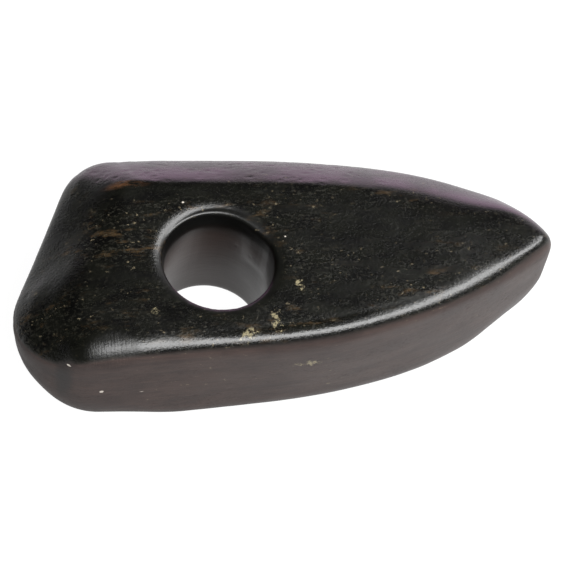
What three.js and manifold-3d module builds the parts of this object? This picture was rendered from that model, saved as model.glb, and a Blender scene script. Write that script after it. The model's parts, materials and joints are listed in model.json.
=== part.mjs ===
// Shaft-hole axe head of ground and polished stone, lying on its broad underside.
//
// One solid piece. Millimetres, +Z up along the bore, +X towards the cutting edge, +Y towards
// the wide side of the body. The origin is the middle of the bounding box, on the underside.

import * as THREE from "three";
import Module from "manifold-3d";
import { mergeVertices } from "three/addons/utils/BufferGeometryUtils.js";

// ---- Driving dimensions ------------------------------------------------------------------

const THICKNESS = 35.5;
const BORE_DIAMETER = 27;
const MOUTH_ROUND = 1.6;

// Plan outline, measured from the axis of the bore. The two sides meet the slanting butt at
// corners that are ground round, and run together in a blunt cutting edge.
const at = (x, y) => new THREE.Vector2(x, y);
const HEEL_WIDE = at(-29.8, 39.2);
const BUTT_PEAK = at(-53.2, -10.4);
const HEEL_NARROW = at(-39.6, -25.4);
const NARROW_BELLY = at(11.3, -23.2);
const NARROW_SWELL = at(53.5, -21.3);
const EDGE_NARROW_SIDE = at(81.5, -1.9);
const EDGE_NOSE = at(88.8, 1.8);
const EDGE_WIDE_SIDE = at(81.6, 10.1);
const WIDE_SWELL_FRONT = at(66.3, 32);
const WIDE_SWELL_BACK = at(21, 33.8);
const WIDE_BELLY = at(-19.9, 35.9);

// How far along its two sides each corner of the butt starts to turn.
const TURN = { heelWide: 13.5, buttPeak: 10.9, heelNarrow: 8 };

// Rounding between the flat faces and the side wall: how far it reaches in over the face, and
// how far down the wall. Flatness 1 is a full quarter ellipse and 2 a straight bevel. Each
// direction that the wall faces has its own. The wide side and the butt are ground to a broad
// bevel above, and the butt is round over all the thickness below its bevel.
const UPPER_ROUND = {
  wide: { inset: 13, depth: 9, flatness: 1.6 },
  narrow: { inset: 4.6, depth: 4.6, flatness: 1 },
  butt: { inset: 16, depth: 12, flatness: 1.85 },
  edge: { inset: 4, depth: 7, flatness: 1 },
};
const LOWER_ROUND = {
  wide: { inset: 13, depth: 14, flatness: 1 },
  narrow: { inset: 4.5, depth: 6, flatness: 1 },
  butt: { inset: 20, depth: THICKNESS - UPPER_ROUND.butt.depth, flatness: 1 },
  edge: { inset: 10, depth: 19, flatness: 1 },
};

// The roundings draw in towards this stretch of the long axis.
const SPINE = { start: at(-8, 3), end: at(62, 2.5) };

const OUTLINE_POINTS = 128;
const ROUND_STEPS = 9;
const BORE_FACETS = 72;
const MOUTH_STEPS = 4;

// ---- Plan outline ------------------------------------------------------------------------

const towards = (from, to, distance) => from.clone().add(to.clone().sub(from).setLength(distance));

function turnCorner(shape, before, corner, after, turn) {
  const start = towards(corner, before, turn);
  const end = towards(corner, after, turn);
  shape.lineTo(start.x, start.y);
  shape.quadraticCurveTo(corner.x, corner.y, end.x, end.y);
}

function planOutline() {
  const shape = new THREE.Shape();
  shape.moveTo(NARROW_BELLY.x, NARROW_BELLY.y);
  shape.quadraticCurveTo(NARROW_SWELL.x, NARROW_SWELL.y, EDGE_NARROW_SIDE.x, EDGE_NARROW_SIDE.y);
  shape.quadraticCurveTo(EDGE_NOSE.x, EDGE_NOSE.y, EDGE_WIDE_SIDE.x, EDGE_WIDE_SIDE.y);
  shape.bezierCurveTo(
    WIDE_SWELL_FRONT.x, WIDE_SWELL_FRONT.y,
    WIDE_SWELL_BACK.x, WIDE_SWELL_BACK.y,
    WIDE_BELLY.x, WIDE_BELLY.y,
  );
  turnCorner(shape, WIDE_BELLY, HEEL_WIDE, BUTT_PEAK, TURN.heelWide);
  turnCorner(shape, HEEL_WIDE, BUTT_PEAK, HEEL_NARROW, TURN.buttPeak);
  turnCorner(shape, BUTT_PEAK, HEEL_NARROW, NARROW_BELLY, TURN.heelNarrow);
  shape.lineTo(NARROW_BELLY.x, NARROW_BELLY.y);
  return shape.getSpacedPoints(OUTLINE_POINTS).slice(0, OUTLINE_POINTS);
}

// ---- Body --------------------------------------------------------------------------------

const spine = new THREE.Line3(
  new THREE.Vector3(SPINE.start.x, SPINE.start.y, 0),
  new THREE.Vector3(SPINE.end.x, SPINE.end.y, 0),
);

function inwardDirection(point) {
  const place = new THREE.Vector3(point.x, point.y, 0);
  return spine.closestPointToPoint(place, true, new THREE.Vector3()).sub(place).normalize();
}

// A rounding blended from its four directions by the squares of the inward direction, which
// add up to one.
function blendRound(round, inward) {
  const along = inward.x ** 2;
  const across = inward.y ** 2;
  const lengthways = inward.x > 0 ? round.butt : round.edge;
  const sideways = inward.y > 0 ? round.narrow : round.wide;
  const blend = (measure) => lengthways[measure] * along + sideways[measure] * across;
  return { inset: blend("inset"), depth: blend("depth"), flatness: blend("flatness") };
}

// One ring of the body: turn runs from 0 on the flat face to 90 degrees on the wall.
function ring(outline, round, turn, heightAt) {
  return outline.map((point) => {
    const inward = inwardDirection(point);
    const { inset, depth, flatness } = blendRound(round, inward);
    const place = inward.multiplyScalar(inset * (1 - Math.sin(turn) ** flatness));
    place.x += point.x;
    place.y += point.y;
    place.z = heightAt(depth * (1 - Math.cos(turn) ** flatness));
    return place;
  });
}

function bodyRings(outline) {
  const rings = [];
  for (let step = 0; step <= ROUND_STEPS; step += 1) {
    const turn = (step / ROUND_STEPS) * (Math.PI / 2);
    rings.push(ring(outline, LOWER_ROUND, turn, (depth) => depth));
  }
  for (let step = ROUND_STEPS; step >= 0; step -= 1) {
    const turn = (step / ROUND_STEPS) * (Math.PI / 2);
    rings.push(ring(outline, UPPER_ROUND, turn, (depth) => THICKNESS - depth));
  }
  return rings;
}

function bodyGeometry() {
  const rings = bodyRings(planOutline());
  const around = OUTLINE_POINTS;
  const faces = [];
  for (let level = 0; level < rings.length - 1; level += 1) {
    for (let i = 0; i < around; i += 1) {
      const here = level * around + i;
      const next = level * around + ((i + 1) % around);
      faces.push(here, next, next + around, here, next + around, here + around);
    }
  }
  const capOf = (ringPoints) => THREE.ShapeUtils.triangulateShape(
    ringPoints.map((point) => new THREE.Vector2(point.x, point.y)),
    [],
  );
  const top = (rings.length - 1) * around;
  for (const [a, b, c] of capOf(rings[0])) faces.push(a, c, b);
  for (const [a, b, c] of capOf(rings.at(-1))) faces.push(top + a, top + b, top + c);

  const geometry = new THREE.BufferGeometry();
  geometry.setFromPoints(rings.flat());
  geometry.setIndex(faces);
  return geometry;
}

// ---- Bore --------------------------------------------------------------------------------

// The tool that cuts the bore: a straight shaft that flares at both mouths, and runs on past
// the faces.
function boreTool() {
  const radius = BORE_DIAMETER / 2;
  const past = 3;
  const flare = [];
  for (let step = 0; step <= MOUTH_STEPS; step += 1) {
    const turn = (step / (MOUTH_STEPS + 1)) * (Math.PI / 2);
    const out = radius + MOUTH_ROUND * (1 - Math.cos(turn));
    flare.push(new THREE.Vector2(out, THICKNESS - MOUTH_ROUND * (1 - Math.sin(turn))));
  }
  const reach = radius + 2 * MOUTH_ROUND;
  const upperHalf = [
    ...flare,
    new THREE.Vector2(reach, THICKNESS + MOUTH_ROUND / 4),
    new THREE.Vector2(reach, THICKNESS + past),
    new THREE.Vector2(0, THICKNESS + past),
  ];
  const lowerHalf = upperHalf.map(({ x, y }) => new THREE.Vector2(x, THICKNESS - y)).reverse();
  const tool = new THREE.LatheGeometry([...lowerHalf, ...upperHalf], BORE_FACETS);
  return tool.rotateX(Math.PI / 2);
}

// ---- Joining and cutting -----------------------------------------------------------------

const wasm = await Module();
wasm.setup();

function toSolid(geometry) {
  const bare = geometry.clone();
  bare.deleteAttribute("normal");
  bare.deleteAttribute("uv");
  const merged = mergeVertices(bare);
  return new wasm.Manifold(new wasm.Mesh({
    numProp: 3,
    vertProperties: new Float32Array(merged.attributes.position.array),
    triVerts: new Uint32Array(merged.index.array),
  }));
}

function toGeometry(solid) {
  const mesh = solid.getMesh();
  const geometry = new THREE.BufferGeometry();
  geometry.setAttribute("position", new THREE.BufferAttribute(mesh.vertProperties, 3));
  geometry.setIndex(new THREE.BufferAttribute(mesh.triVerts, 1));
  geometry.computeVertexNormals();
  return geometry;
}

// ---- The part ----------------------------------------------------------------------------

const darkStone = new THREE.MeshStandardMaterial({ color: 0x2b2a27, roughness: 0.4, metalness: 0 });

function axeHead() {
  const geometry = toGeometry(toSolid(bodyGeometry()).subtract(toSolid(boreTool())));
  geometry.computeBoundingBox();
  const middle = geometry.boundingBox.getCenter(new THREE.Vector3());
  const mesh = new THREE.Mesh(geometry, darkStone);
  mesh.name = "axe_head";
  mesh.position.set(-middle.x, -middle.y, 0);
  return mesh;
}

const group = new THREE.Group();
group.add(axeHead());

export default group;
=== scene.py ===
# %% [markdown]
# # A polished stone axe head
#
# The axe head is one piece of dark stone with a hole for the haft. The construction model gives
# its true size and outline in smooth facets. This lesson gives it the surface of the real thing:
# a body that was ground by hand, a drilled hole, pits from the hammer stone that grinding didn't
# reach, small chips, and a polish that shows the grain of the rock.

# %% The frame and its sizes
import json
import math
import random

import bpy
import numpy as np
from mathutils import Matrix, Vector, kdtree, noise


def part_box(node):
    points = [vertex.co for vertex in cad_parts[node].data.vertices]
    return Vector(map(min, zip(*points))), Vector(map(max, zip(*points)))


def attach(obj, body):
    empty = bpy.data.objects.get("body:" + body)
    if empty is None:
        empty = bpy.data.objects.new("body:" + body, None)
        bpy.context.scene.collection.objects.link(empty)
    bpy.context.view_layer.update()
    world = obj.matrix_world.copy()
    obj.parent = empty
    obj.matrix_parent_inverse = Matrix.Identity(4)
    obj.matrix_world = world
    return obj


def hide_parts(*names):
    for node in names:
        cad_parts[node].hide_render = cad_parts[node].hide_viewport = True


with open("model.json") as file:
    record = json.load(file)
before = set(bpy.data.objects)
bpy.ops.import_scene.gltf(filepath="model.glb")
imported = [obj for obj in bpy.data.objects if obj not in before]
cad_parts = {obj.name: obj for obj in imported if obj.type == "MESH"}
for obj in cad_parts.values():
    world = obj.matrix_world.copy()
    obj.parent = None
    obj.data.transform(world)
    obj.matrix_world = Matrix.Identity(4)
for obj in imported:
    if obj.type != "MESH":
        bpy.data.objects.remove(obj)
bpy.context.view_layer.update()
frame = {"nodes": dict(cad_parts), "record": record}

MM = 0.001
low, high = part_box("axe_head")
size = high - low
hole_low, hole_high = (Vector(c) for c in frame["record"]["physics"]["openings"][0]["box_m"])
hole_centre = (hole_low + hole_high) / 2
HOLE_RADIUS = 13.5 * MM
print("axe head", [round(s / MM, 1) for s in size], "mm, hole at", hole_centre.xy)

# %% [markdown]
# ## The view
#
# The camera looks down on the axe head from its narrow side, with the cutting edge to the right
# and turned a little away. A long lens keeps the two sides nearly parallel. The camera could be
# aimed with a constraint, but three angles and a distance say where it is more plainly.

# %% The camera
VIEW_ELEVATION = math.radians(57.8)
VIEW_TURN = math.radians(19.0)
VIEW_ROLL = math.radians(12.9)
VIEW_DISTANCE = 670 * MM
AIM_RIGHT = 15.8 * MM
AIM_DOWN = 6.2 * MM
LENS = 173.8


def view_axes():
    """The camera's right, up and backward directions."""
    level = Vector((math.cos(VIEW_TURN), -math.sin(VIEW_TURN), 0))
    ground = Vector((-math.sin(VIEW_TURN), -math.cos(VIEW_TURN), 0))
    back = ground * math.cos(VIEW_ELEVATION) + Vector((0, 0, math.sin(VIEW_ELEVATION)))
    upright = back.cross(level)
    right = level * math.cos(VIEW_ROLL) + upright * math.sin(VIEW_ROLL)
    return right, back.cross(right), back


def add_camera():
    right, up, back = view_axes()
    mouth = Vector((hole_centre.x, hole_centre.y, high.z))
    place = mouth + right * AIM_RIGHT - up * AIM_DOWN + back * VIEW_DISTANCE
    camera = bpy.data.objects.new("camera", bpy.data.cameras.new("camera"))
    camera.data.lens = LENS
    camera.data.clip_start = 0.01
    turn = Matrix((right, up, back)).transposed().to_4x4()
    camera.matrix_world = Matrix.Translation(place) @ turn
    bpy.context.scene.collection.objects.link(camera)
    bpy.context.scene.camera = camera
    return camera


camera = add_camera()
print("camera at", [round(c, 3) for c in camera.matrix_world.translation])

# %% [markdown]
# ## Wiring shaders as sums
#
# A stone needs many small masks, and wiring them one link at a time is hard to read. A small
# class holds one socket and lets Python's operators add the Math nodes, so a mask reads as the
# sum that it is. Every other kind of node comes from one method.


# %% A socket that can be added and multiplied
class Wire:
    """One socket of a node tree, or with no socket the tree alone."""

    def __init__(self, tree, socket=None):
        self.tree = tree
        self.socket = socket

    def node(self, kind, settings=None, inputs=None, output=0):
        """Adds a node: its settings first, then the values or wires of its inputs."""
        made = self.tree.nodes.new(kind)
        for name, value in (settings or {}).items():
            setattr(made, name, value)
        for key, value in (inputs or {}).items():
            if isinstance(value, Wire):
                self.tree.links.new(value.socket, made.inputs[key])
            else:
                made.inputs[key].default_value = value
        return Wire(self.tree, made.outputs[output] if made.outputs else None)

    def _math(self, operation, first, second):
        return self.node("ShaderNodeMath", {"operation": operation}, {0: first, 1: second})

    def __add__(self, other):
        return self._math("ADD", self, other)

    def __sub__(self, other):
        return self._math("SUBTRACT", self, other)

    def __mul__(self, other):
        return self._math("MULTIPLY", self, other)

    def __rsub__(self, other):
        return self._math("SUBTRACT", other, self)

    __radd__ = __add__
    __rmul__ = __mul__

    def step(self, start, end):
        """0 below start and 1 above end, with a soft slope between; start may be the larger."""
        inputs = {"Value": self, "From Min": start, "From Max": end}
        settings = {"interpolation_type": "SMOOTHSTEP"}
        return self.node("ShaderNodeMapRange", settings, inputs)

    def mix(self, first, second):
        """Between two colours, with this wire as the factor."""
        settings = {"data_type": "RGBA", "clamp_factor": True}
        return self.node("ShaderNodeMix", settings, {0: self, 6: first, 7: second}, output=2)


def colour(red, green, blue):
    return (red, green, blue, 1.0)


print("sockets can be summed")

# %% [markdown]
# ## The ground body
#
# The construction model has flat facets. A voxel remesh lays an even net of small faces over it,
# and smoothing melts the facets into one skin. A subdivision surface would do that too, but it
# would round the mouths of the hole away. The even net then takes the relief, point by point.

# %% An even skin over the construction model
VOXEL = 0.56 * MM
SMOOTH_ROUNDS = 10


def even_skin(node):
    rough = bpy.data.objects.new("rough", frame["nodes"][node].data.copy())
    bpy.context.scene.collection.objects.link(rough)
    remesh = rough.modifiers.new("even_net", "REMESH")
    remesh.mode = "VOXEL"
    remesh.voxel_size = VOXEL
    melt = rough.modifiers.new("melt_facets", "SMOOTH")
    melt.factor = 0.5
    melt.iterations = SMOOTH_ROUNDS
    settled = rough.evaluated_get(bpy.context.evaluated_depsgraph_get())
    mesh = bpy.data.meshes.new_from_object(settled)
    bpy.data.objects.remove(rough)
    mesh.name = "axe_stone"
    stone = bpy.data.objects.new("axe_stone", mesh)
    bpy.context.scene.collection.objects.link(stone)
    return stone


stone = even_skin("axe_head")
count = len(stone.data.vertices)
print("skin of", count, "points and", len(stone.data.polygons), "faces")


# %% A soft step for arrays
def soft(value, start, end):
    """0 before start and 1 after end; start may be the larger."""
    t = np.clip((value - start) / (end - start), 0, 1)
    return t * t * (3 - 2 * t)


print("halfway up a soft step is", float(soft(0.5, 0, 1)))

# %% Points and normals as arrays, in millimetres
points = np.empty(count * 3, np.float32)
stone.data.vertices.foreach_get("co", points)
points = points.reshape(-1, 3).astype(float) / MM
top = high.z / MM
hole = np.array(hole_centre.xy) / MM


def read_normals():
    """Gives the points back to the mesh, and reads their normals."""
    stone.data.vertices.foreach_set("co", (points * MM).astype(np.float32).ravel())
    stone.data.update()
    normals = np.empty(count * 3, np.float32)
    stone.data.vertex_normals.foreach_get("vector", normals)
    return normals.reshape(-1, 3).astype(float)


normals = read_normals()
x, y, z = points.T  # these follow the points when they move
print("from", points.min(0).round(1), "to", points.max(0).round(1), "mm")

# %% Distances from the hole's axis, and directions round it
from_hole = points[:, :2] - hole
hole_distance = np.linalg.norm(from_hole, axis=1)
hole_angle = np.degrees(np.arctan2(from_hole[:, 1], from_hole[:, 0]))
print(int((hole_distance < 14).sum()), "points in the hole")

# %% [markdown]
# ## A fuller edge and melted creases
#
# The construction model blends the rounding of the narrow side into the wide bevel of the butt.
# On the real axe head the narrow side keeps its tight edge nearly to the corner, and the bevels
# flow into the top without a crease. The edge could be rebuilt with a bevel modifier, but a lift
# worked out from a quarter circle keeps the net even. The creases are melted by letting each
# point drift to the middle of its neighbours, over and over, only where a mask allows it.

# %% The near edge is filled out towards the butt
EDGE_ROUND = 4.6
WALL_CORNER = (-57, -30.9)  # where the narrow wall meets the butt
WALL_SLANT = 0.043
from_wall = y - WALL_CORNER[1] - (x - WALL_CORNER[0]) * WALL_SLANT
in_round = np.clip(EDGE_ROUND - from_wall, 0, EDGE_ROUND)
full_edge = top - EDGE_ROUND + np.sqrt(EDGE_ROUND ** 2 - in_round ** 2)
filled = soft(x, -30, -38) * soft(x, -62, -46) * soft(y, -14, -20)
filled *= soft(normals[:, 2], 0.02, 0.3) * soft(z, top / 2, top - 10)
lift = np.maximum(full_edge - z, 0) * filled
points[:, 2] += lift
print("filled by up to", round(float(lift.max()), 1), "mm")

# %% Creases that grinding would have taken off
MELT_ROUNDS = 145
edges = np.empty(len(stone.data.edges) * 2, np.int32)
stone.data.edges.foreach_get("vertices", edges)
pairs = edges.reshape(-1, 2)
starts, ends = np.concatenate((pairs, pairs[:, ::-1])).T
neighbours = np.bincount(starts, minlength=count)
near_edge = soft(y, -20, -26) * soft(x, -62, -55)
butt_crease = soft(x, -38, -46) * soft(z, top - 8, top - 4) * (1 - near_edge)
tip_crease = 0.8 * soft(x, 22, 34) * soft(z, top - 7, top - 4) * soft(y, -4, 2)
tip_below = 0.35 * soft(x, 34, 46) * soft(z, 18, 10)
butt_below = soft(x, -10, -20) * soft(y, -12, -4) * soft(z, 24, 14)
butt_below *= soft(hole_distance, 16, 20)
melting = np.maximum.reduce((butt_crease, tip_crease, tip_below, butt_below))
for _ in range(MELT_ROUNDS):
    for axis in range(3):
        total = np.bincount(starts, points[ends, axis], minlength=count)
        points[:, axis] += (total / neighbours - points[:, axis]) * melting
normals = read_normals()
print(int((melting > 0.5).sum()), "points melted")

# %% [markdown]
# ## Relief
#
# Grinding by hand leaves a body that is never quite flat, with low swells as wide as a finger.
# Each kind of relief below is a height in millimetres for every point, and the heights are added
# up and the points moved along their normals once. Geometry carries what an outline or a
# highlight shows; the grain finer than the net is left to the material.


# %% Smooth noise at many places
def noise_at(places, wavelength, seed, octaves=2):
    """Smooth noise of about -1 to 1 at each place, with swells of one wavelength."""
    shift = Vector((seed * 17.3, seed * 5.1, seed * 9.7))
    value = noise.fractal
    return np.array([value(Vector(p) / wavelength + shift, 0.9, 2.0, octaves) for p in places])


print("noise at the origin:", noise_at([(0, 0, 0)], 22, seed=1).round(2))

# %% Swells left by the grinding
SKIN_LOST = 0.15  # what melting the facets took off, put back everywhere
swell = noise_at(points, 22, seed=1) * 0.13 + noise_at(points, 7, seed=2) * 0.03
heights = SKIN_LOST + swell * soft(hole_distance, 13.6, 16)
print("swells of", round(float(np.abs(swell).max()), 2), "mm")

# %% The narrow wall leans out towards its upper edge
LEAN = 1.4
LEAN_MIDDLE = 2
LEAN_REACH = 26
most_lean = np.exp(-((x - LEAN_MIDDLE) / LEAN_REACH) ** 2)
faces_narrow = soft(-normals[:, 1], 0.15, 0.75)
heights += LEAN * most_lean * faces_narrow * soft(z, 4, top - 4)
print("the wall leans out by up to", LEAN, "mm")

# %% The outer edge of the butt's bevel stands a little proud
PROUD = 0.25
level_share = np.sqrt(np.maximum(1 - normals[:, 2] ** 2, 1e-6))
faces_butt = soft(-normals[:, 0] / level_share, 0.6, 0.85)
heights += PROUD * faces_butt * soft(z, top - 4, 24) * soft(z, 19, 23)
print(int((faces_butt > 0.5).sum()), "points face the butt")

# %% The worn mouth of the hole
WORN_SIDE = 118  # the direction in which it is most worn, in degrees
worn = np.cos(np.radians(hole_angle - WORN_SIDE)) * 0.5 + 0.5
near_mouth = soft(hole_distance, 17.3, 13.4) * soft(z, top - 5, top - 1.5)
wear = (0.1 + 0.8 * worn ** 2) * near_mouth * soft(hole_distance, 12, 13.6)
heights -= wear
print("mouth worn by up to", round(float(wear.max()), 2), "mm")

# %% Rings from the drill
in_hole = soft(hole_distance, 14.0, 13.7) * (1 - soft(np.abs(normals[:, 2]), 0.3, 0.6))
RING_HEIGHT = 0.012
RING_SPACING = 0.9
rings = np.array([noise.noise(Vector((level / RING_SPACING, 3.1, 7.7))) for level in z])
heights += RING_HEIGHT * rings * in_hole
print(int(in_hole.sum()), "points carry rings")

# %% [markdown]
# ## Pits and chips
#
# Before it was ground, the blank was pecked into shape with a hammer stone. The wide upper edge
# and the butt kept some of the peck marks. Each one is a small bowl. They could be a texture, but
# the larger ones break the highlight of the edge, so they are cut into the skin.


# %% Cutting bowls into the skin
tree = kdtree.KDTree(count)
for index, point in enumerate(points):
    tree.insert(point, index)
tree.balance()


def cut_bowl(centre, radius, depth, stretch):
    """Lowers the skin in a bowl that is drawn out by the stretch along each axis."""
    reach = radius * max(stretch)
    for near, index, _ in tree.find_range(centre, reach):
        offset = near - Vector(centre)
        apart = Vector(o / s for o, s in zip(offset, stretch)).length / radius
        if apart < 1:
            heights[index] -= depth * (1 - apart * apart) ** 2


def scatter(chance, amount, sizes, depths, stretch):
    """Cuts an amount of bowls at random points, each point with its own chance."""
    for index in dice.choices(range(count), weights=chance, k=amount):
        radius = dice.uniform(*sizes)
        cut_bowl(points[index], radius, radius * dice.uniform(*depths), stretch)


print(count, "points can be looked up")

# %% Pits on the far bevel and the butt, and a few everywhere
dice = random.Random(11)
RARELY = 1e-6
on_bevel = soft(normals[:, 1], 0.3, 0.5) * soft(normals[:, 2], 0.35, 0.6) * soft(x, 30, 5)
on_butt = soft(normals[:, 0], -0.5, -0.8) * soft(y, 5, -15)
scatter(on_bevel + RARELY, 320, (0.45, 0.8), (0.06, 0.15), (1.5, 1, 1))
scatter(on_butt + RARELY, 40, (0.6, 1.1), (0.05, 0.12), (1, 1, 1.6))
scatter(np.ones(count), 60, (0.4, 0.7), (0.1, 0.25), (1.4, 1, 1))
print("lowest point of the relief:", round(float(heights.min()), 2), "mm")

# %% Moving the skin
moved = (points + normals * heights[:, None]) * MM
stone.data.vertices.foreach_set("co", moved.astype(np.float32).ravel())
stone.data.polygons.foreach_set("use_smooth", np.ones(len(stone.data.polygons), bool))
stone.data.update()
print("relief from", round(heights.min(), 2), "to", round(heights.max(), 2), "mm")

# %% [markdown]
# ## The stone
#
# A dense dark rock, nearly black, with fine pale grains, brown streaks along the bedding and
# stains in the hollows. Object coordinates in millimetres place every pattern, so that it runs
# through the stone as a real grain does, and no seam shows anywhere.

# %% Places and directions for the patterns
material = bpy.data.materials.new("polished_stone")
material.use_nodes = True
material.node_tree.nodes.clear()
sheet = Wire(material.node_tree)
metres = sheet.node("ShaderNodeTexCoord", output="Object")
place = sheet.node("ShaderNodeVectorMath", {"operation": "SCALE"}, {0: metres, "Scale": 1 / MM})
place_x = sheet.node("ShaderNodeSeparateXYZ", inputs={0: place}, output=0)
place_z = sheet.node("ShaderNodeSeparateXYZ", inputs={0: place}, output=2)
facing = sheet.node("ShaderNodeNewGeometry", output="Normal")
facing_y = sheet.node("ShaderNodeSeparateXYZ", inputs={0: facing}, output=1)
facing_z = sheet.node("ShaderNodeSeparateXYZ", inputs={0: facing}, output=2)


def scaled_place(stretch, seed):
    inputs = {
        "Vector": place, "Location": (seed, seed, seed), "Scale": tuple(1 / s for s in stretch),
    }
    return sheet.node("ShaderNodeMapping", inputs=inputs)


def cloud(wavelength, stretch=(1, 1, 1), detail=3.0, roughness=0.55, seed=0.0):
    """Cloudy noise from 0 to 1, with patches of one wavelength in millimetres."""
    inputs = {
        "Vector": scaled_place(stretch, seed), "Scale": 1 / wavelength,
        "Detail": detail, "Roughness": roughness,
    }
    return sheet.node("ShaderNodeTexNoise", inputs=inputs)


def spot(centre, reach, stretch=(1, 1, 1)):
    """A soft spot: 1 at its centre, 0 beyond its reach, all in millimetres."""
    offset = sheet.node(
        "ShaderNodeVectorMath", {"operation": "SUBTRACT"}, {0: place, 1: centre}
    )
    shrunk = sheet.node(
        "ShaderNodeVectorMath", {"operation": "DIVIDE"}, {0: offset, 1: stretch}
    )
    apart = sheet.node("ShaderNodeVectorMath", {"operation": "LENGTH"}, {0: shrunk}, output=1)
    return apart.step(reach, 0)


BEDDING = (2.6, 1.0, 1.0)  # the grain is drawn out along the axe head
print("patterns are placed in millimetres, up to z =", round(top, 1))

# %% Where each finish lies
TOP = top
ALL_HEIGHTS = (1, 1, 1000)
wall = facing_z.step(0.62, 0.3)
far_bevel = facing_y.step(0.3, 0.5) * facing_z.step(0.3, 0.5)
towards_butt = place_x.step(45, -60)
mouth = spot((*hole, TOP / 2), 17.5, ALL_HEIGHTS).step(0.01, 0.08)
deep_in_hole = place_z.step(TOP - 3, TOP - 10)

# %% Grain, streaks and stains
grain = cloud(0.7, (1.5, 1, 1), detail=3, roughness=0.75, seed=3)
patches = cloud(11, BEDDING, detail=4, roughness=0.6, seed=11)
streaks = cloud(2.6, (3.5, 1, 1), detail=4, roughness=0.7, seed=23)
tan_cloud = cloud(1.1, (1.2, 1, 1), detail=2, roughness=0.6, seed=57)
speckle = grain.step(0.5, 0.7) * (0.25 + patches.step(0.4, 0.6) * 0.75) * (1 - mouth)
tan_specks = tan_cloud.step(0.65, 0.75) * patches.step(0.36, 0.6)
brown = streaks.step(0.54, 0.72) * patches.step(0.44, 0.6)

# %% The stone of the top face
BLACK = colour(0.0005, 0.0005, 0.0004)
GREEN_BLACK = colour(0.002, 0.0021, 0.0014)
OLIVE = colour(0.011, 0.0105, 0.0075)
TAN = colour(0.1, 0.083, 0.053)
BROWN = colour(0.045, 0.028, 0.013)
top_stone = cloud(3.5, BEDDING, seed=31).step(0.35, 0.65).mix(BLACK, GREEN_BLACK)
top_stone = (brown * 0.6).mix(top_stone, BROWN)
top_stone = speckle.mix(top_stone, OLIVE)
top_stone = (tan_specks * 0.7).mix(top_stone, TAN)

# %% The stone of the walls and the hole, and a painted reflection on the far bevel
UMBER = colour(0.0095, 0.0037, 0.0025)
GREY_BROWN = colour(0.02, 0.0105, 0.008)
# The mauve is a painted reflection: the tint that the far bevel mirrors from the pale screen, put
# into its base colour.
MAUVE_PAINTED_REFLECTION = colour(0.04, 0.02, 0.035)
BORE_BROWN = colour(0.012, 0.007, 0.0055)
scoring = cloud(1.1, (22, 22, 1), detail=4, roughness=0.75, seed=71)
stain = cloud(7, (2, 2, 1), detail=3, seed=77)
mottle = cloud(1.6, (2.5, 2.5, 1), detail=4, roughness=0.7, seed=79)
weathering = (scoring * 0.35 + stain * 0.35 + mottle * 0.3).step(0.4, 0.6)
wall_stone = weathering.mix(UMBER, GREY_BROWN)
wall_stone = (tan_cloud.step(0.66, 0.74) * stain.step(0.5, 0.6) * 0.6).mix(wall_stone, TAN)
wall_stone = (mouth * 0.75).mix(wall_stone, BORE_BROWN)
wall_stone = (mouth * (1 - deep_in_hole)).mix(wall_stone, BLACK)
body = wall.mix(top_stone, wall_stone)
# Painted reflection: the far bevel's base colour takes the pale screen's mauve, patchy where the
# stain cloud is low.
body = (far_bevel * (0.5 + stain.step(0.4, 0.6) * 0.5)).mix(body, MAUVE_PAINTED_REFLECTION)

# %% Pale crusts, and the shade down the near corner
CRUST = colour(0.19, 0.165, 0.1)
crumbs = cloud(1.5, (1, 1, 1), detail=5, roughness=0.8, seed=83)
crust_patches = (
    ((-35, -19, TOP), 2, (1, 1.2, 1)),
    ((-60, -21, TOP - 3), 4, (0.7, 1.3, 1)),
    ((-13, -27, TOP), 5, (1, 0.9, 1)),
    ((-6, -24, TOP), 5.5, (0.6, 1.3, 1)),
    ((3, -31, TOP - 12), 8, (1.2, 1, 0.5)),
    ((1, -14, TOP), 2.5, (1, 1.6, 1)),
)
for centre, reach, stretch in crust_patches:
    crusted = spot(centre, reach, stretch)
    body = ((crusted * 0.27 + crumbs - 0.71).step(0, 0.1) * 0.65).mix(body, CRUST)
corner_shade = spot((-57.5, -31, TOP - 12), 9, (0.4, 1, 1.8)).step(0, 0.8)
body = (corner_shade * 0.7).mix(body, BLACK)
print(len(crust_patches), "patches of crust")

# %% Pale chips and a rusty stain
CHIP = colour(0.34, 0.31, 0.27)
RUST = colour(0.1, 0.045, 0.02)
pale_marks = (
    ((-24.5, 11.5, TOP), 0.3, (1.2, 1, 1)),
    ((-0.5, 0, TOP), 0.25, (1, 1, 1)),
    ((-55.5, -24, TOP - 1), 0.5, (0.7, 1.6, 1)),
    ((-56.5, -29, TOP - 6), 0.55, (1.5, 1, 0.5)),
    ((-48, -31, TOP - 17), 0.6, (1, 1.5, 1)),
    ((-38, -31, TOP - 19), 0.6, (1.6, 1.5, 0.6)),
)
for centre, reach, stretch in pale_marks:
    body = (spot(centre, reach * 1.6, stretch).step(0.2, 0.6) * 0.8).mix(body, CHIP)
rusty = spot((-38, 18, TOP), 5, (1.8, 0.35, 1)) * streaks.step(0.4, 0.65)
body = (rusty * 0.6).mix(body, RUST)
print(len(pale_marks), "pale marks")

# %% Polish: duller on the walls, most of all towards the butt
polish = cloud(6, BEDDING, seed=41)
scratched = spot((-46, -28.5, TOP - 1), 9, (1, 0.7, 1)).step(0, 0.4)
roughness = 0.22 + scratched * 0.14 + polish * 0.1 + speckle * 0.12
roughness = roughness + wall * (1 - mouth) * (0.14 + towards_butt * 0.24) + mouth * 0.1
print("polish wired")

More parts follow.
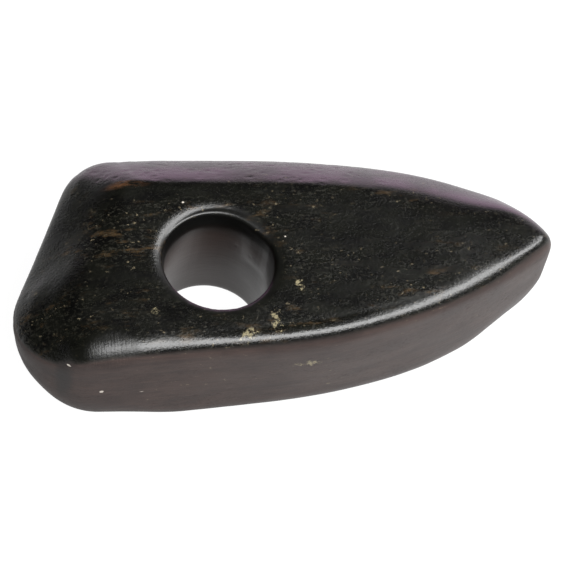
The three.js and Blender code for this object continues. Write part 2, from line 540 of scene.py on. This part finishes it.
# %% Grain that can be felt, and the finished stone
fine = cloud(0.5, (1.3, 1, 1), detail=2, roughness=0.6, seed=5)
cross_scratches = cloud(0.45, (1, 12, 12), detail=2, seed=91)
relief = (fine * 0.5 + grain * 0.4) * (1 - wall * 0.75) * (1 - mouth * 0.85)
relief = relief + (scoring + mottle) * wall * 0.22
relief = relief + cross_scratches * (scratched * 0.8 + 0.05)
bump = sheet.node(
    "ShaderNodeBump", inputs={"Strength": 1.0, "Distance": 0.13 * MM, "Height": relief}
)
shader = sheet.node(
    "ShaderNodeBsdfPrincipled",
    inputs={"Base Color": body, "Roughness": roughness, "Normal": bump, "IOR": 1.42},
)
sheet.node("ShaderNodeOutputMaterial", inputs={"Surface": shader})
stone.data.materials.clear()
stone.data.materials.append(material)
print("stone material of", len(material.node_tree.nodes), "nodes")

# %% The stone takes the construction model's place
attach(stone, "root")
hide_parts("axe_head")
print(stone.name, "stands for axe_head")

# %% [markdown]
# ## Floor and light
#
# The axe head lies on a plain white floor that shows through the hole. Dark polished stone is
# seen mostly by what it mirrors: the top mirrors a dark ceiling, the walls mirror the white floor,
# and the far bevel mirrors the floor and a low pale screen. One soft box above the viewer's right
# draws the bright line along the near edge, and one further round draws the rim of the hole. The
# room's own light on the open floor is given by a soft emission. It is left out on the near part
# of the floor under the hole, which the stone shades.


# %% The paper of the floor
SHADE_SHIFT = 6.5 * MM  # from the hole towards the camera


def floor_paper():
    paper = bpy.data.materials.new("floor_paper")
    paper.use_nodes = True
    paper.node_tree.nodes.clear()
    pulp = Wire(paper.node_tree)
    spread = pulp.node("ShaderNodeTexCoord", output="Object")
    back_off = Vector((-math.sin(VIEW_TURN), -math.cos(VIEW_TURN), 0)) * SHADE_SHIFT
    middle = Vector((hole_centre.x, hole_centre.y, 0)) + back_off
    away = pulp.node("ShaderNodeVectorMath", {"operation": "DISTANCE"}, {0: spread, 1: middle}, 1)
    open_floor = away.step(HOLE_RADIUS * 0.85, HOLE_RADIUS)
    shade = pulp.node("ShaderNodeBsdfPrincipled", inputs={
        "Base Color": colour(0.05, 0.05, 0.05),
        "Roughness": 0.9,
        "Specular IOR Level": 0.0,
        "Emission Color": open_floor.mix(colour(0.06, 0.06, 0.06), colour(1, 1, 1)),
        "Emission Strength": 0.97,
    })
    pulp.node("ShaderNodeOutputMaterial", inputs={"Surface": shade})
    return paper


print("the shade under the hole is shifted by", round(SHADE_SHIFT / MM, 1), "mm")


# %% The floor
def add_floor(reach):
    mesh = bpy.data.meshes.new("floor")
    corners = [(-reach, -reach, 0), (reach, -reach, 0), (reach, reach, 0), (-reach, reach, 0)]
    mesh.from_pydata(corners, [], [(0, 1, 2, 3)])
    mesh.materials.append(floor_paper())
    floor = bpy.data.objects.new("floor", mesh)
    floor.location.z = low.z
    bpy.context.scene.collection.objects.link(floor)
    return floor


add_floor(reach=4.0)
print("floor at z =", round(low.z, 4))


# %% The soft boxes
BOX_DISTANCE = 1.2


def add_soft_box(name, elevation, turn, width, height, glow):
    """An area light that faces the stone; turn 0 is the camera's side, positive to its right."""
    level = VIEW_TURN - math.radians(turn)
    up = math.radians(elevation)
    ground = Vector((-math.sin(level), -math.cos(level), 0))
    towards = ground * math.cos(up) + Vector((0, 0, math.sin(up)))
    lamp = bpy.data.lights.new(name, "AREA")
    lamp.shape = "RECTANGLE"
    lamp.size = width
    lamp.size_y = height
    lamp.energy = glow * math.pi * width * height
    box = bpy.data.objects.new(name, lamp)
    box.location = towards * BOX_DISTANCE
    box.rotation_euler = towards.to_track_quat("Z", "Y").to_euler()
    bpy.context.scene.collection.objects.link(box)


add_soft_box("front_box", elevation=57, turn=42, width=1.1, height=0.9, glow=16)
add_soft_box("side_box", elevation=48, turn=112, width=1.0, height=0.5, glow=14)
print("two soft boxes", BOX_DISTANCE, "m away")

# %% The dark room and the pale screen
SCREEN_TURN = math.radians(63)
ROOM_DARK = colour(0.02, 0.02, 0.02)
SCREEN_PALE = colour(1.35, 1.2, 1.32)
world = bpy.data.worlds.new("room")
world.use_nodes = True
world.node_tree.nodes.clear()
room = Wire(world.node_tree)
direction = room.node("ShaderNodeTexCoord", output="Generated")
upward = room.node("ShaderNodeSeparateXYZ", inputs={0: direction}, output=2)
screen_side = (math.cos(SCREEN_TURN), math.sin(SCREEN_TURN), 0)
ahead = room.node(
    "ShaderNodeVectorMath", {"operation": "DOT_PRODUCT"}, {0: direction, 1: screen_side}, 1
)
screen = upward.step(0.38, 0.1) * ahead.step(0.58, 0.78)
glow = room.node("ShaderNodeBackground", inputs={"Color": screen.mix(ROOM_DARK, SCREEN_PALE)})
room.node("ShaderNodeOutputWorld", inputs={"Surface": glow})
bpy.context.scene.world = world
bpy.context.scene.view_settings.view_transform = "Standard"
print("room of", len(world.node_tree.nodes), "nodes")
